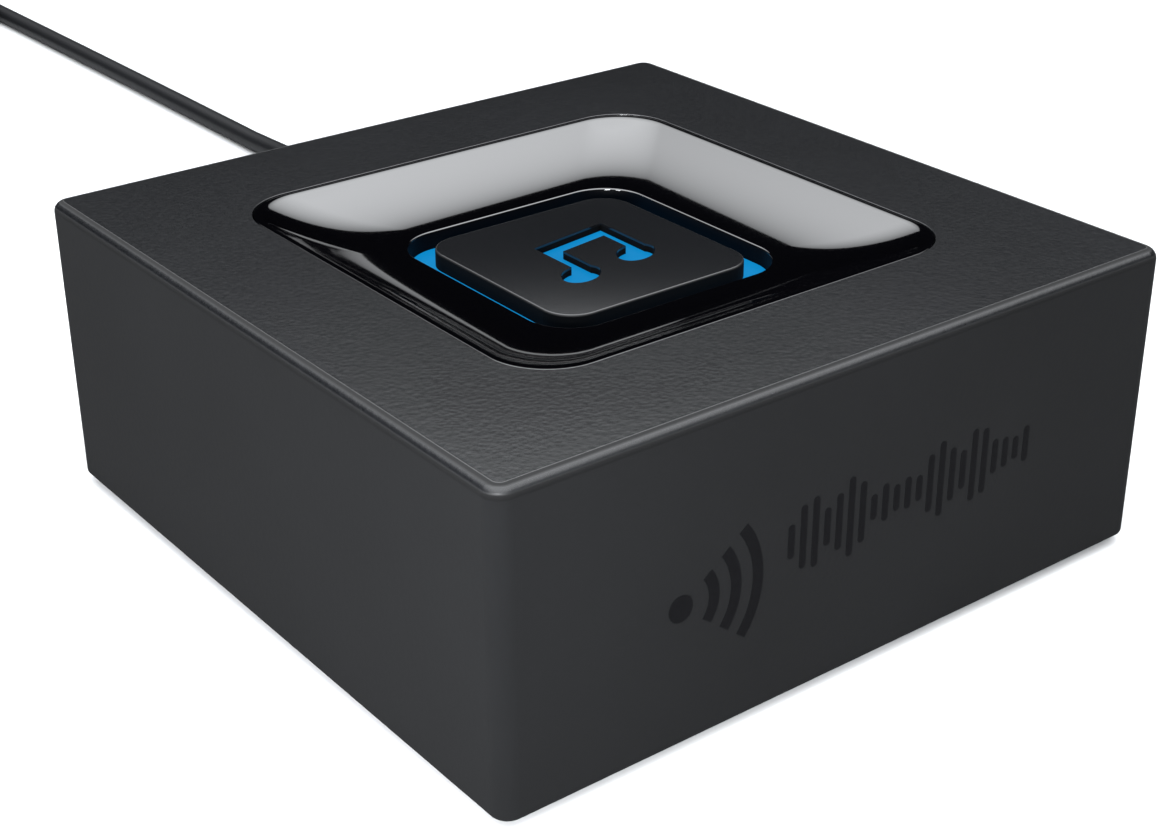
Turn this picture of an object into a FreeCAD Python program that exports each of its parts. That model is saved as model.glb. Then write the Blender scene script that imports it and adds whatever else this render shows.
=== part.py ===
"""Wireless audio receiver: a small square desk box with a lit push button in a glossy dish,
stereo phono sockets, a 3.5 mm headphone-size socket and a low-voltage power lead.

Frame: origin on the table under the middle of the case, +Z up, -Y is the plain front,
+Y is the rear with the sockets, +X is to the right seen from the front. Millimetres.
"""
import FreeCAD, Part
import math
import os

from FreeCAD import Vector

# ---------------------------------------------------------------- driving dimensions
CASE_HALF = 25.4            # half of the square case's side
CASE_TOP = 20.8             # height of the top face above the table
CASE_BOTTOM = 0.6           # the case stands this far up on its foot pad
CASE_CORNER_R = 1.15        # upright corners
CASE_TOP_R = 0.7            # rounding of the top edge
CASE_FOOT_R = 0.35          # rounding of the bottom edge
WALL = 1.8                  # case wall
INNER_CORNER_R = 0.6
MOUTH_ROUND = 0.04          # edge of the opening in the top
COVER_TOP = 2.4             # inner face of the bottom cover
PAD_HALF = 21.8             # non-slip pad under the case
PAD_CORNER_R = 3.0
PAD_THICK = 1.2
PAD_GAP = 0.1

DISH_HALF = 16.68           # opening in the top face
DISH_CORNER_R = 4.1
DISH_DEPTH = 2.05           # from the top face to the lip round the button
DISH_EDGE_GAP = 0.08        # fine joint between bezel and case
LIP_HALF = 9.25             # inner edge of the dish
LIP_CORNER_R = 3.2
LIP_ROUND = 0.1
BEZEL_LAND = 0.4            # flat rim of the bezel round the dish
BEZEL_FLANGE_HALF = 18.6
BEZEL_BOTTOM = 16.75
FLANGE_BOTTOM = 17.7
STAKES = [(17.5, 0), (-17.5, 0), (0, 17.5), (0, -17.5)]
STAKE_R = 0.8
STAKE_HEAD_R = 1.3
STAKE_HEAD_BOTTOM = 17.2

BUTTON_HALF = 7.72
BUTTON_CORNER_R = 2.24
BUTTON_HEIGHT = 1.15        # side wall of the cap that shows above the light guide
BUTTON_FACE = 0.55          # thickness of the cap's face
BUTTON_EDGE_R = 0.14
GUIDE_BOSS_HALF = 6.9       # part of the light guide inside the cap
GUIDE_BOSS_CORNER_R = 1.5
GUIDE_GAP = 0.15            # free space round the light guide
GUIDE_BOTTOM = 15.9
PLUNGER_R = 1.75
NOTE_STEM = 1.2             # width of the symbol's stems
NOTE_HEAD_LONG = 1.55       # half axes of its oval heads
NOTE_HEAD_SHORT = 1.15

BOARD_TOP = 6.4
BOARD_THICK = 1.6
BOARD_HALF = 22.8
JACK_Z = 10.4               # common centre height of all the sockets
RCA_X = {"right": -17.4, "left": -3.4}
RCA_SHELL_R = 4.15
RCA_SHANK_R = 3.9           # the barrel's thinner part inside the housing
RCA_REACH = 8.5             # how far the phono barrels stand out of the rear face
RCA_WALL_R = 5.1            # hole through the rear wall
RCA_BUSHING_R = 4.95
RCA_CORE_R = 3.7
RCA_TUBE_R = 1.95
RCA_PIN_R = 1.62
RCA_BACK = 19.0             # y of the barrel's inner end
SOCKET_BACK = 13.6          # y of the back of the socket housings
SOCKET_GAP = 0.1            # between the housings and the case wall
AUDIO_X = 8.9
AUDIO_BORE_R = 1.78
AUDIO_WALL_R = 3.15
AUDIO_NOSE_R = 3.0
FERRULE_R = 2.55
FERRULE_DEPTH = 1.2
POWER_X = 18.6
POWER_BORE_R = 1.85
POWER_PIN_R = 0.62
POWER_WALL_R = 3.25
POWER_NOSE_R = 3.1
POWER_BORE_END = 15.4
NOSE_START = 20.0           # y where a socket's round nose begins
SLEEVE_R = 1.75             # power plug
LINING_R = 1.15
PLUG_TIP = 15.9
PLUG_ROOT = 3.0             # the sleeve reaches this far into the grip
GRIP_R = 4.1
RELIEF_R = 2.5
RELIEF_CORE_R = 1.3

POST_R = 2.6
PILOT_R = 0.95
PILOT_TOP = 12.0
STANDOFF_R = 2.4
STANDOFF_PILOT_R = 0.8
POSTS = [(-21.2, -21.2), (21.2, -21.2), (-21.2, 8.0), (21.2, 8.0)]
STANDOFFS = [(-17.0, -13.5), (17.0, -13.5), (-13.7, 6.0), (13.7, 6.0)]

CORD_R = 0.95               # the power lead is 1.9 mm thick
COIL_X, COIL_Y = 3.25, 150.0
COIL_MID_R = 11.0
COIL_HALF_WIDTH = 4.0
COIL_HEIGHT = 7.4
TIE_HALF = 2.5              # half the strap's width
TIE_THICK = 0.5
TIE_GAP = 0.2
TURN_RISE = 1.0             # the turns rise this much where they cross the strap
COIL_OUTER_TURN = COIL_MID_R + COIL_HALF_WIDTH - CORD_R
USB_X = -12.0
USB_TIP = 95.5              # y of the plug's end
USB_ROOT = 108.5
USB_SHELL_HALF = 6.0
USB_SHELL_RISE = 2.25       # half the shell's height
USB_SHEET = 0.3
USB_GRIP_HALF = 5.6
USB_GRIP_START = 107.0
USB_GRIP_END = 128.0
USB_Z = COIL_HEIGHT / 2
USB_RELIEF_END = 136.0      # y where the lead enters the far plug

REAR = CASE_HALF
INNER = CASE_HALF - WALL
CEILING = CASE_TOP - WALL
BUTTON_TOP = CASE_TOP - DISH_DEPTH
GUIDE_TOP = BUTTON_TOP - BUTTON_HEIGHT
BUTTON_FACE_UNDER = BUTTON_TOP - BUTTON_FACE

GRIP_START = REAR + 0.5
GRIP_END = GRIP_START + 10.1
RELIEF_END = GRIP_END + 6.0
LEAD_ROUTE = [              # runs of the lead from the plug to the coil, laid by hand
    (POWER_X, RELIEF_END, JACK_Z),
    (POWER_X, 48.5, JACK_Z),
    (18.5, 62.5, CORD_R),
    (18.2, 96.0, CORD_R),
    (17.8, 124.0, CORD_R),
    (COIL_X + COIL_OUTER_TURN, COIL_Y, CORD_R),
]
TAIL_ROUTE = [
    (COIL_X - COIL_OUTER_TURN, COIL_Y, COIL_HEIGHT - CORD_R),
    (COIL_X - COIL_OUTER_TURN - 0.2, 144.5, 5.4),
    (USB_X, 138.5, USB_Z),
    (USB_X, USB_RELIEF_END, USB_Z),
]

CLOSE = 1e-4                # two lengths this near count as equal

os.makedirs("parts", exist_ok=True)


# ---------------------------------------------------------------- shape helpers
def save(shape, node):
    """Write one node's solid or group of solids."""
    if not shape.isValid():
        print("not valid:", node)
    solids = shape.Solids
    group = solids[0] if len(solids) == 1 else Part.makeCompound(solids)
    group.exportStep("parts/" + node + ".step")
    print(f"{node:22s} {len(solids):2d} solids {shape.Volume:9.2f} mm3")


def rounded_wire(half_x, half_y, radius, z):
    """Closed outline of a rectangle with round corners, centred on the Z axis."""
    edges = []
    corners = [(1, 1), (-1, 1), (-1, -1), (1, -1)]
    centres = [Vector(sx * (half_x - radius), sy * (half_y - radius), z) for sx, sy in corners]
    for index, centre in enumerate(centres):
        start = math.radians(90 * index)
        points = []
        for step in (0, 1, 2):
            angle = start + math.radians(45) * step
            points.append(centre + Vector(math.cos(angle), math.sin(angle), 0) * radius)
        edges.append(Part.Arc(*points).toShape())
        next_start = math.radians(90 * (index + 1))
        following = centres[(index + 1) % 4]
        far = following + Vector(math.cos(next_start), math.sin(next_start), 0) * radius
        edges.append(Part.LineSegment(points[2], far).toShape())
    return Part.Wire(edges)


def rounded_block(half_x, half_y, radius, z_low, z_high, x=0.0, y=0.0):
    """Upright prism on a round-cornered rectangle."""
    face = Part.Face(rounded_wire(half_x, half_y, radius, z_low))
    block = face.extrude(Vector(0, 0, z_high - z_low))
    block.translate(Vector(x, y, 0))
    return block


def box(x_low, x_high, y_low, y_high, z_low, z_high):
    corner = Vector(x_low, y_low, z_low)
    return Part.makeBox(x_high - x_low, y_high - y_low, z_high - z_low, corner)


def upright(radius, x, y, z_low, z_high):
    return Part.makeCylinder(radius, z_high - z_low, Vector(x, y, z_low), Vector(0, 0, 1))


def lying(radius, x, z, y_low, y_high):
    """Cylinder along Y."""
    return Part.makeCylinder(radius, y_high - y_low, Vector(x, y_low, z), Vector(0, 1, 0))


def edges_at_height(shape, z, reach=1000.0):
    """Edges that lie at one height, within a reach of the Z axis."""
    chosen = []
    for edge in shape.Edges:
        low, high = edge.BoundBox.ZMin, edge.BoundBox.ZMax
        centre = edge.CenterOfMass
        away = max(abs(centre.x), abs(centre.y))
        if abs(low - z) < CLOSE and abs(high - z) < CLOSE and away < reach:
            chosen.append(edge)
    return chosen


def edges_at_end(shape, y):
    """Edges that lie in one plane across the Y axis."""
    chosen = []
    for edge in shape.Edges:
        if abs(edge.BoundBox.YMin - y) < CLOSE and edge.BoundBox.YLength < CLOSE:
            chosen.append(edge)
    return chosen


def screw(x, y, under_head, direction, shank_r, shank_length, head_r, head_height, slot_r):
    """Pan-head screw: direction +1 drives it up, -1 drives it down."""
    if direction > 0:
        shank = upright(shank_r, x, y, under_head, under_head + shank_length)
        head = upright(head_r, x, y, under_head - head_height, under_head)
        socket = upright(slot_r, x, y, under_head - head_height, under_head - head_height * 0.4)
    else:
        shank = upright(shank_r, x, y, under_head - shank_length, under_head)
        head = upright(head_r, x, y, under_head, under_head + head_height)
        socket = upright(slot_r, x, y, under_head + head_height * 0.4, under_head + head_height)
    return shank.fuse(head).cut(socket).removeSplitter()


def cord_path(route, name):
    """Straight runs joined by tangent arcs; prints each arc's radius."""
    points = [Vector(*point) for point in route]
    edges = []
    start = points[0]
    radii = []
    for before, corner, after in zip(points, points[1:], points[2:]):
        run_in, run_out = corner - before, after - corner
        turn = run_in.getAngle(run_out)
        reach = 0.45 * min(run_in.Length, run_out.Length)
        radius = reach / math.tan(turn / 2)
        unit_in = Vector(run_in).normalize()
        unit_out = Vector(run_out).normalize()
        arc_start = corner - unit_in * reach
        arc_end = corner + unit_out * reach
        inward = (unit_out - unit_in).normalize()
        to_centre = math.hypot(radius, reach)
        middle = corner + inward * (to_centre - radius)
        edges.append(Part.LineSegment(start, arc_start).toShape())
        edges.append(Part.Arc(arc_start, middle, arc_end).toShape())
        radii.append(round(radius, 1))
        start = arc_end
    edges.append(Part.LineSegment(start, points[-1]).toShape())
    print(name, "arc radii", radii)
    return Part.Wire(edges)


def cord_tube(route, name):
    """Round cord along a route, with its volume compared with section times length."""
    path = cord_path(route, name)
    first = path.Edges[0]
    axis = first.tangentAt(first.FirstParameter)
    section = Part.Wire(Part.makeCircle(CORD_R, Vector(*route[0]), axis))
    tube = path.makePipeShell([section], True, False)
    expected = math.pi * CORD_R ** 2 * path.Length
    print(name, f"length {path.Length:.1f} volume {tube.Volume:.1f} expected {expected:.1f}")
    return tube


# ---------------------------------------------------------------- case
def top_housing():
    """Moulded shell: four walls and the top, with screw posts and stakes for the bezel."""
    shell = rounded_block(CASE_HALF, CASE_HALF, CASE_CORNER_R, CASE_BOTTOM, CASE_TOP)
    shell = shell.makeFillet(CASE_TOP_R, edges_at_height(shell, CASE_TOP))
    shell = shell.makeFillet(CASE_FOOT_R, edges_at_height(shell, CASE_BOTTOM))
    shell = shell.cut(rounded_block(INNER, INNER, INNER_CORNER_R, 0.0, CEILING))
    shell = shell.cut(rounded_block(DISH_HALF, DISH_HALF, DISH_CORNER_R, CEILING - 1, CASE_TOP + 1))
    shell = shell.makeFillet(MOUTH_ROUND, edges_at_height(shell, CASE_TOP, DISH_HALF + 0.5))
    for x, y in POSTS:
        shell = shell.fuse(upright(POST_R, x, y, COVER_TOP, CEILING + 0.2))
    for x, y in POSTS:
        shell = shell.cut(upright(PILOT_R, x, y, COVER_TOP - 1, PILOT_TOP))
    for x, y in STAKES:
        shell = shell.fuse(upright(STAKE_R, x, y, STAKE_HEAD_BOTTOM + 0.1, CEILING + 0.2))
        shell = shell.fuse(upright(STAKE_HEAD_R, x, y, STAKE_HEAD_BOTTOM, FLANGE_BOTTOM))
    for x in RCA_X.values():
        shell = shell.cut(lying(RCA_WALL_R, x, JACK_Z, INNER - 1, REAR + 1))
    shell = shell.cut(lying(AUDIO_WALL_R, AUDIO_X, JACK_Z, INNER - 1, REAR + 1))
    shell = shell.cut(lying(POWER_WALL_R, POWER_X, JACK_Z, INNER - 1, REAR + 1))
    return shell.removeSplitter()


def bottom_cover():
    """Plate that closes the case, with standoffs for the board and a seat for the foot pad."""
    cover_half = INNER - SOCKET_GAP
    seat_half = PAD_HALF + PAD_GAP
    cover = rounded_block(cover_half, cover_half, 0.5, CASE_BOTTOM, COVER_TOP)
    cover = cover.cut(rounded_block(seat_half, seat_half, PAD_CORNER_R + PAD_GAP, 0.0, PAD_THICK))
    for x, y in STANDOFFS:
        cover = cover.fuse(upright(STANDOFF_R, x, y, COVER_TOP - 0.2, BOARD_TOP - BOARD_THICK))
    for x, y in STANDOFFS:
        cover = cover.cut(upright(STANDOFF_PILOT_R, x, y, 1.9, BOARD_TOP))
    for x, y in POSTS:
        cover = cover.cut(upright(1.15, x, y, 0.0, 3.0))
        cover = cover.cut(upright(2.0, x, y, 0.0, 1.6))
    return cover.removeSplitter()


def foot_pad():
    """Soft non-slip sheet under the whole case; its edge is rounded where it meets the table."""
    pad = rounded_block(PAD_HALF, PAD_HALF, PAD_CORNER_R, 0.0, PAD_THICK)
    return pad.makeFillet(0.25, edges_at_height(pad, 0.0))


def cover_screws():
    screws = [screw(x, y, 1.6, 1, PILOT_R, 7.0, 1.8, 0.4, 0.7) for x, y in POSTS]
    return Part.makeCompound(screws)


# ---------------------------------------------------------------- bezel and button
def dish_tool():
    """Concave dish: an arc that is level at the lip and rises to the bezel's flat land."""
    rim_half = DISH_HALF - DISH_EDGE_GAP - BEZEL_LAND
    floor_half = LIP_HALF + LIP_ROUND
    run = rim_half - floor_half
    rise = DISH_DEPTH - 0.06
    bend = (run ** 2 + rise ** 2) / (2 * rise)
    steepest = math.asin(run / bend)
    sections = []
    count = 7
    for step in range(count):
        angle = steepest * step / (count - 1)
        out = bend * math.sin(angle)
        share = out / run
        radius = LIP_CORNER_R + LIP_ROUND + (DISH_CORNER_R - 0.2 - LIP_CORNER_R) * share
        height = BUTTON_TOP + bend * (1 - math.cos(angle))
        sections.append(rounded_wire(floor_half + out, floor_half + out, radius, height))
    return Part.makeLoft(sections, True, False)


def lip_tool():
    """Small round-over where the dish turns down into the button's gap."""
    sections = []
    for step in range(5):
        angle = math.radians(90) * step / 4
        half = LIP_HALF + LIP_ROUND * (1 - math.cos(angle))
        height = BUTTON_TOP - LIP_ROUND * (1 - math.sin(angle))
        sections.append(rounded_wire(half, half, LIP_CORNER_R + half - LIP_HALF, height))
    return Part.makeLoft(sections, True, False)


def bezel():
    """Gloss dish set into the top, held by four stakes through its flange."""
    land = CASE_TOP - 0.06
    outer = DISH_HALF - DISH_EDGE_GAP
    ring = rounded_block(outer, outer, DISH_CORNER_R - 0.06, 18.0, land)
    flange = rounded_block(BEZEL_FLANGE_HALF, BEZEL_FLANGE_HALF, 5.0, FLANGE_BOTTOM, CEILING)
    neck = rounded_block(10.5, 10.5, 4.2, BEZEL_BOTTOM, FLANGE_BOTTOM + 0.1)
    blank = ring.fuse(flange).fuse(neck).removeSplitter()
    hole = rounded_block(LIP_HALF, LIP_HALF, LIP_CORNER_R, BEZEL_BOTTOM - 1, BUTTON_TOP)
    blank = blank.cut(dish_tool()).cut(lip_tool()).cut(hole)
    for x, y in STAKES:
        blank = blank.cut(upright(STAKE_R + 0.05, x, y, FLANGE_BOTTOM - 1, CEILING + 0.5))
    return blank


def note_head(x, y):
    """Slanted oval head of a note."""
    oval = Part.Ellipse(Vector(0, 0, 0), NOTE_HEAD_LONG, NOTE_HEAD_SHORT).toShape()
    face = Part.Face(Part.Wire(oval))
    face.rotate(Vector(0, 0, 0), Vector(0, 0, 1), 22)
    face.translate(Vector(x, y, BUTTON_FACE_UNDER - 0.5))
    return face.extrude(Vector(0, 0, 2))


def symbol_tool():
    """Two beamed notes, cut right through the cap as one connected opening."""
    low = BUTTON_FACE_UNDER - 0.5
    pieces = []
    for x, foot, head in ((-1.15, -2.5, 2.1), (3.8, -1.8, 2.9)):
        pieces.append(box(x - NOTE_STEM, x, foot, head, low, low + 2))
        pieces.append(note_head(x - NOTE_HEAD_LONG + 0.2, foot))
    beam_points = [(-2.35, 1.0), (3.8, 1.9), (3.8, 3.6), (-2.35, 2.7)]
    corners = [Vector(x, y, low) for x, y in beam_points]
    beam = Part.Face(Part.makePolygon(corners + corners[:1])).extrude(Vector(0, 0, 2))
    return beam.multiFuse(pieces).removeSplitter()


def button_cap():
    """Square cap with a cut-through symbol over the light guide."""
    cap = rounded_block(BUTTON_HALF, BUTTON_HALF, BUTTON_CORNER_R, GUIDE_TOP, BUTTON_TOP)
    cap = cap.makeFillet(BUTTON_EDGE_R, edges_at_height(cap, BUTTON_TOP))
    inside = rounded_block(GUIDE_BOSS_HALF, GUIDE_BOSS_HALF, GUIDE_BOSS_CORNER_R, GUIDE_TOP - 1,
                           BUTTON_FACE_UNDER)
    return cap.cut(inside).cut(symbol_tool())


def light_guide():
    """Blue diffuser: fills the cap, shows as a ring round it, and catches under the bezel."""
    ring_half = LIP_HALF - GUIDE_GAP
    boss = rounded_block(GUIDE_BOSS_HALF, GUIDE_BOSS_HALF, GUIDE_BOSS_CORNER_R, GUIDE_TOP - 0.1,
                         BUTTON_FACE_UNDER)
    ring = rounded_block(ring_half, ring_half, LIP_CORNER_R - GUIDE_GAP, 16.5, GUIDE_TOP)
    catch = rounded_block(10.2, 10.2, 3.9, GUIDE_BOTTOM, BEZEL_BOTTOM - GUIDE_GAP)
    return boss.fuse(ring).fuse(catch).removeSplitter()


def switch_body():
    body = box(-3, 3, -3, 3, BOARD_TOP, 9.9)
    for x in (-3.4, 2.8):
        body = body.fuse(box(x, x + 0.6, -2.2, 2.2, BOARD_TOP, BOARD_TOP + 1.2))
    return body.cut(upright(PLUNGER_R + 0.15, 0, 0, 8.6, 10)).removeSplitter()


def switch_plunger():
    return upright(PLUNGER_R, 0, 0, 9.2, GUIDE_BOTTOM)


def light_reflector():
    """White square tube that carries the lamps' light up to the guide."""
    outer = rounded_block(9.5, 9.5, 1.0, BOARD_TOP, 15.2)
    return outer.cut(rounded_block(8.7, 8.7, 0.6, BOARD_TOP - 1, 16))


# ---------------------------------------------------------------- electronics
def main_board():
    board = box(-BOARD_HALF, BOARD_HALF, -BOARD_HALF, BOARD_HALF, BOARD_TOP - BOARD_THICK, BOARD_TOP)
    for x, y in POSTS:
        board = board.cut(upright(POST_R + 0.3, x, y, 0, 10))
    for x, y in STANDOFFS:
        board = board.cut(upright(1.1, x, y, 0, 10))
    return board


def board_screws():
    screws = [screw(x, y, BOARD_TOP, -1, STANDOFF_PILOT_R, 4.2, 1.7, 0.9, 0.65) for x, y in STANDOFFS]
    return Part.makeCompound(screws)


def radio_board():
    return box(-11.5, 3.5, -21.8, -11.4, BOARD_TOP, BOARD_TOP + 0.8)


def radio_shield():
    can = rounded_block(5.2, 4.6, 0.5, BOARD_TOP + 0.8, BOARD_TOP + 2.6, -1.9, -16.6)
    return can.cut(rounded_block(4.95, 4.35, 0.4, BOARD_TOP + 0.7, BOARD_TOP + 2.35, -1.9, -16.6))


def audio_chip():
    """Flat square package with a row of legs on each side."""
    chip = rounded_block(3.5, 3.5, 0.3, BOARD_TOP + 0.15, BOARD_TOP + 1.2, 9.6, -16.0)
    pieces = [chip]
    for step in range(8):
        offset = -2.8 + 0.8 * step
        pieces.append(box(9.6 - 4.4, 9.6 + 4.4, -16.0 + offset - 0.15, -16.0 + offset + 0.15,
                          BOARD_TOP, BOARD_TOP + 0.3))
        pieces.append(box(9.6 + offset - 0.15, 9.6 + offset + 0.15, -16.0 - 4.4, -16.0 + 4.4,
                          BOARD_TOP, BOARD_TOP + 0.3))
    return pieces[0].multiFuse(pieces[1:]).removeSplitter()


def capacitors():
    cans = []
    for x, y in ((14.4, -5.0), (-14.6, -5.2), (-14.6, 0.2)):
        base = box(x - 2.1, x + 2.1, y - 2.1, y + 2.1, BOARD_TOP, BOARD_TOP + 0.7)
        can = upright(2.0, x, y, BOARD_TOP + 0.7, BOARD_TOP + 5.4)
        cans.append(base.fuse(can))
    return Part.makeCompound(cans)


def power_inductor():
    core = rounded_block(2.2, 2.2, 0.6, BOARD_TOP, BOARD_TOP + 2.2, 14.4, 0.4)
    return core.makeChamfer(0.3, edges_at_height(core, BOARD_TOP + 2.2))


def clock_crystal():
    return rounded_block(1.6, 1.25, 0.3, BOARD_TOP, BOARD_TOP + 0.8, 16.2, -18.2)


def status_leds():
    lamps = []
    for x in (-5.8, 5.8):
        for y in (-5.8, 5.8):
            lamps.append(rounded_block(1.6, 0.8, 0.15, BOARD_TOP, BOARD_TOP + 0.8, x, y))
    return Part.makeCompound(lamps)


# ---------------------------------------------------------------- phono sockets
def rca_housing():
    """Black block behind the rear wall with a round bushing through it for each barrel."""
    block = box(-23.3, 2.5, SOCKET_BACK, INNER - SOCKET_GAP, BOARD_TOP, 16.2)
    for x in RCA_X.values():
        block = block.fuse(lying(RCA_BUSHING_R, x, JACK_Z, INNER - 0.7, REAR + 0.3))
    for x in RCA_X.values():
        block = block.cut(lying(RCA_SHANK_R, x, JACK_Z, RCA_BACK, REAR + 1))
    return block.removeSplitter()


def rca_shell(side):
    """Plated outer barrel that the plug's skirt grips."""
    x = RCA_X[side]
    barrel = lying(RCA_SHELL_R, x, JACK_Z, REAR + 0.3, REAR + RCA_REACH)
    barrel = barrel.makeChamfer(0.25, edges_at_end(barrel, REAR + RCA_REACH))
    barrel = barrel.fuse(lying(RCA_SHANK_R, x, JACK_Z, RCA_BACK, REAR + 1)).removeSplitter()
    return barrel.cut(lying(RCA_CORE_R, x, JACK_Z, RCA_BACK - 1, REAR + RCA_REACH + 1))


def rca_insulator(side):
    """Coloured plastic core, seen as a white or red disc in the barrel."""
    x = RCA_X[side]
    core = lying(RCA_CORE_R, x, JACK_Z, RCA_BACK, REAR + RCA_REACH - 0.3)
    return core.cut(lying(RCA_TUBE_R, x, JACK_Z, RCA_BACK + 2, REAR + RCA_REACH))


def rca_contact(side):
    """Sprung tube that takes the plug's centre pin."""
    x = RCA_X[side]
    tube = lying(RCA_TUBE_R, x, JACK_Z, RCA_BACK + 2, REAR + RCA_REACH - 0.6)
    return tube.cut(lying(RCA_PIN_R, x, JACK_Z, RCA_BACK + 4, REAR + RCA_REACH))


# ---------------------------------------------------------------- 3.5 mm socket
def audio_jack_contacts():
    """Three leaf springs above the bore."""
    leaves = []
    for y in (SOCKET_BACK, SOCKET_BACK + 3.0, SOCKET_BACK + 6.0):
        leaves.append(box(AUDIO_X - 0.6, AUDIO_X + 0.6, y, y + 1.4, JACK_Z + 1.9, JACK_Z + 2.2))
    return Part.makeCompound(leaves)


def audio_jack_body():
    inner_y = INNER - SOCKET_GAP
    body = box(AUDIO_X - 3.2, AUDIO_X + 3.2, 10.6, inner_y, BOARD_TOP, JACK_Z + 3.6)
    body = body.fuse(lying(AUDIO_NOSE_R, AUDIO_X, JACK_Z, NOSE_START, REAR + 0.2))
    body = body.cut(lying(AUDIO_BORE_R, AUDIO_X, JACK_Z, 11.6, REAR + 1))
    body = body.cut(lying(FERRULE_R, AUDIO_X, JACK_Z, REAR - FERRULE_DEPTH, REAR + 1))
    body = body.cut(audio_jack_contacts())
    return body.removeSplitter()


def audio_jack_ferrule():
    """Plated ring in the mouth of the socket."""
    ring = lying(FERRULE_R, AUDIO_X, JACK_Z, REAR - FERRULE_DEPTH, REAR + 0.35)
    return ring.cut(lying(AUDIO_BORE_R, AUDIO_X, JACK_Z, REAR - 2, REAR + 1))


# ---------------------------------------------------------------- power socket and plug
def power_jack_body():
    inner_y = INNER - SOCKET_GAP
    body = box(POWER_X - 3.4, POWER_X + 3.4, 12.0, inner_y, BOARD_TOP, JACK_Z + 3.6)
    body = body.fuse(lying(POWER_NOSE_R, POWER_X, JACK_Z, NOSE_START, REAR + 0.1))
    body = body.cut(lying(POWER_BORE_R, POWER_X, JACK_Z, POWER_BORE_END, REAR + 1))
    body = body.cut(lying(POWER_PIN_R, POWER_X, JACK_Z, SOCKET_BACK, POWER_BORE_END + 1))
    return body.removeSplitter()


def power_jack_pin():
    tip = 23.0
    pin = lying(POWER_PIN_R, POWER_X, JACK_Z, SOCKET_BACK, tip)
    return pin.makeFillet(0.3, edges_at_end(pin, tip))


def plug_barrel():
    """Outer sleeve of the power plug."""
    sleeve = lying(SLEEVE_R, POWER_X, JACK_Z, PLUG_TIP, GRIP_START + PLUG_ROOT)
    return sleeve.cut(lying(LINING_R, POWER_X, JACK_Z, PLUG_TIP - 1, GRIP_START + PLUG_ROOT + 1))


def plug_insulator():
    """Yellow plastic lining with the hole for the socket's pin."""
    lining = lying(LINING_R, POWER_X, JACK_Z, PLUG_TIP, GRIP_START + PLUG_ROOT)
    return lining.cut(lying(POWER_PIN_R + 0.1, POWER_X, JACK_Z, PLUG_TIP - 1, 24.0))


def plug_grip():
    """Over-moulded handle with a ribbed, tapering strain relief."""
    grip = lying(GRIP_R, POWER_X, JACK_Z, GRIP_START, GRIP_END)
    ends = edges_at_end(grip, GRIP_START) + edges_at_end(grip, GRIP_END)
    grip = grip.makeFillet(0.9, ends)
    relief = Part.makeCone(RELIEF_R, 1.35, RELIEF_END - GRIP_END + 0.5,
                           Vector(POWER_X, GRIP_END - 0.5, JACK_Z), Vector(0, 1, 0))
    for step in range(4):
        y = GRIP_END + 0.9 + 1.45 * step
        groove = lying(RELIEF_R + 1.5, POWER_X, JACK_Z, y, y + 0.6)
        relief = relief.cut(groove.cut(lying(RELIEF_CORE_R, POWER_X, JACK_Z, y - 1, y + 2)))
    whole = grip.fuse(relief).removeSplitter()
    return whole.cut(lying(SLEEVE_R, POWER_X, JACK_Z, GRIP_START - 1, GRIP_START + PLUG_ROOT))


# ---------------------------------------------------------------- lead, coil and far plug
def coil_section():
    """Rounded rectangle that the bundled turns fill, in the XZ plane of the coil."""
    inner_x = COIL_X + COIL_MID_R - COIL_HALF_WIDTH
    outer_x = COIL_X + COIL_MID_R + COIL_HALF_WIDTH
    block = box(inner_x, outer_x, COIL_Y, COIL_Y + 1, 0, COIL_HEIGHT)
    along = [e for e in block.Edges if abs(e.BoundBox.YLength - 1) < 1e-3]
    block = block.makeFillet(1.9, along)
    for face in block.Faces:
        if abs(face.CenterOfMass.y - COIL_Y) < CLOSE:
            return face


def strap_block(half_width, margin, low, high):
    """Round-edged block round the bundle's section, on the side away from the case."""
    near = COIL_Y + COIL_MID_R - COIL_HALF_WIDTH - margin
    far = COIL_Y + COIL_MID_R + COIL_HALF_WIDTH + margin
    block = box(COIL_X - half_width, COIL_X + half_width, near, far, low, high)
    along = [e for e in block.Edges if abs(e.BoundBox.XLength - 2 * half_width) < 1e-3]
    return block.makeFillet(1.3 + margin, along)


def lead_tie():
    """Hook-and-loop strap round the bundle; the turns rise a little to pass over it."""
    top = COIL_HEIGHT + TURN_RISE
    outer = strap_block(TIE_HALF, TIE_GAP + TIE_THICK, 0.0, top + TIE_THICK)
    return outer.cut(strap_block(TIE_HALF + 1, TIE_GAP, TIE_THICK, top))


def lead_coil():
    """Outer shape of the tied coil of spare lead."""
    centre = Vector(COIL_X, COIL_Y, 0)
    ring = coil_section().revolve(centre, Vector(0, 0, 1), 360)
    ring = Part.Solid(ring) if ring.ShapeType == "Shell" else ring
    return ring.cut(lead_tie())


def usb_block(inset, y_low, y_high):
    """Block the size of the far plug's shell, made smaller all round by an inset."""
    half, rise = USB_SHELL_HALF - inset, USB_SHELL_RISE - inset
    return box(USB_X - half, USB_X + half, y_low, y_high, USB_Z - rise, USB_Z + rise)


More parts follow.
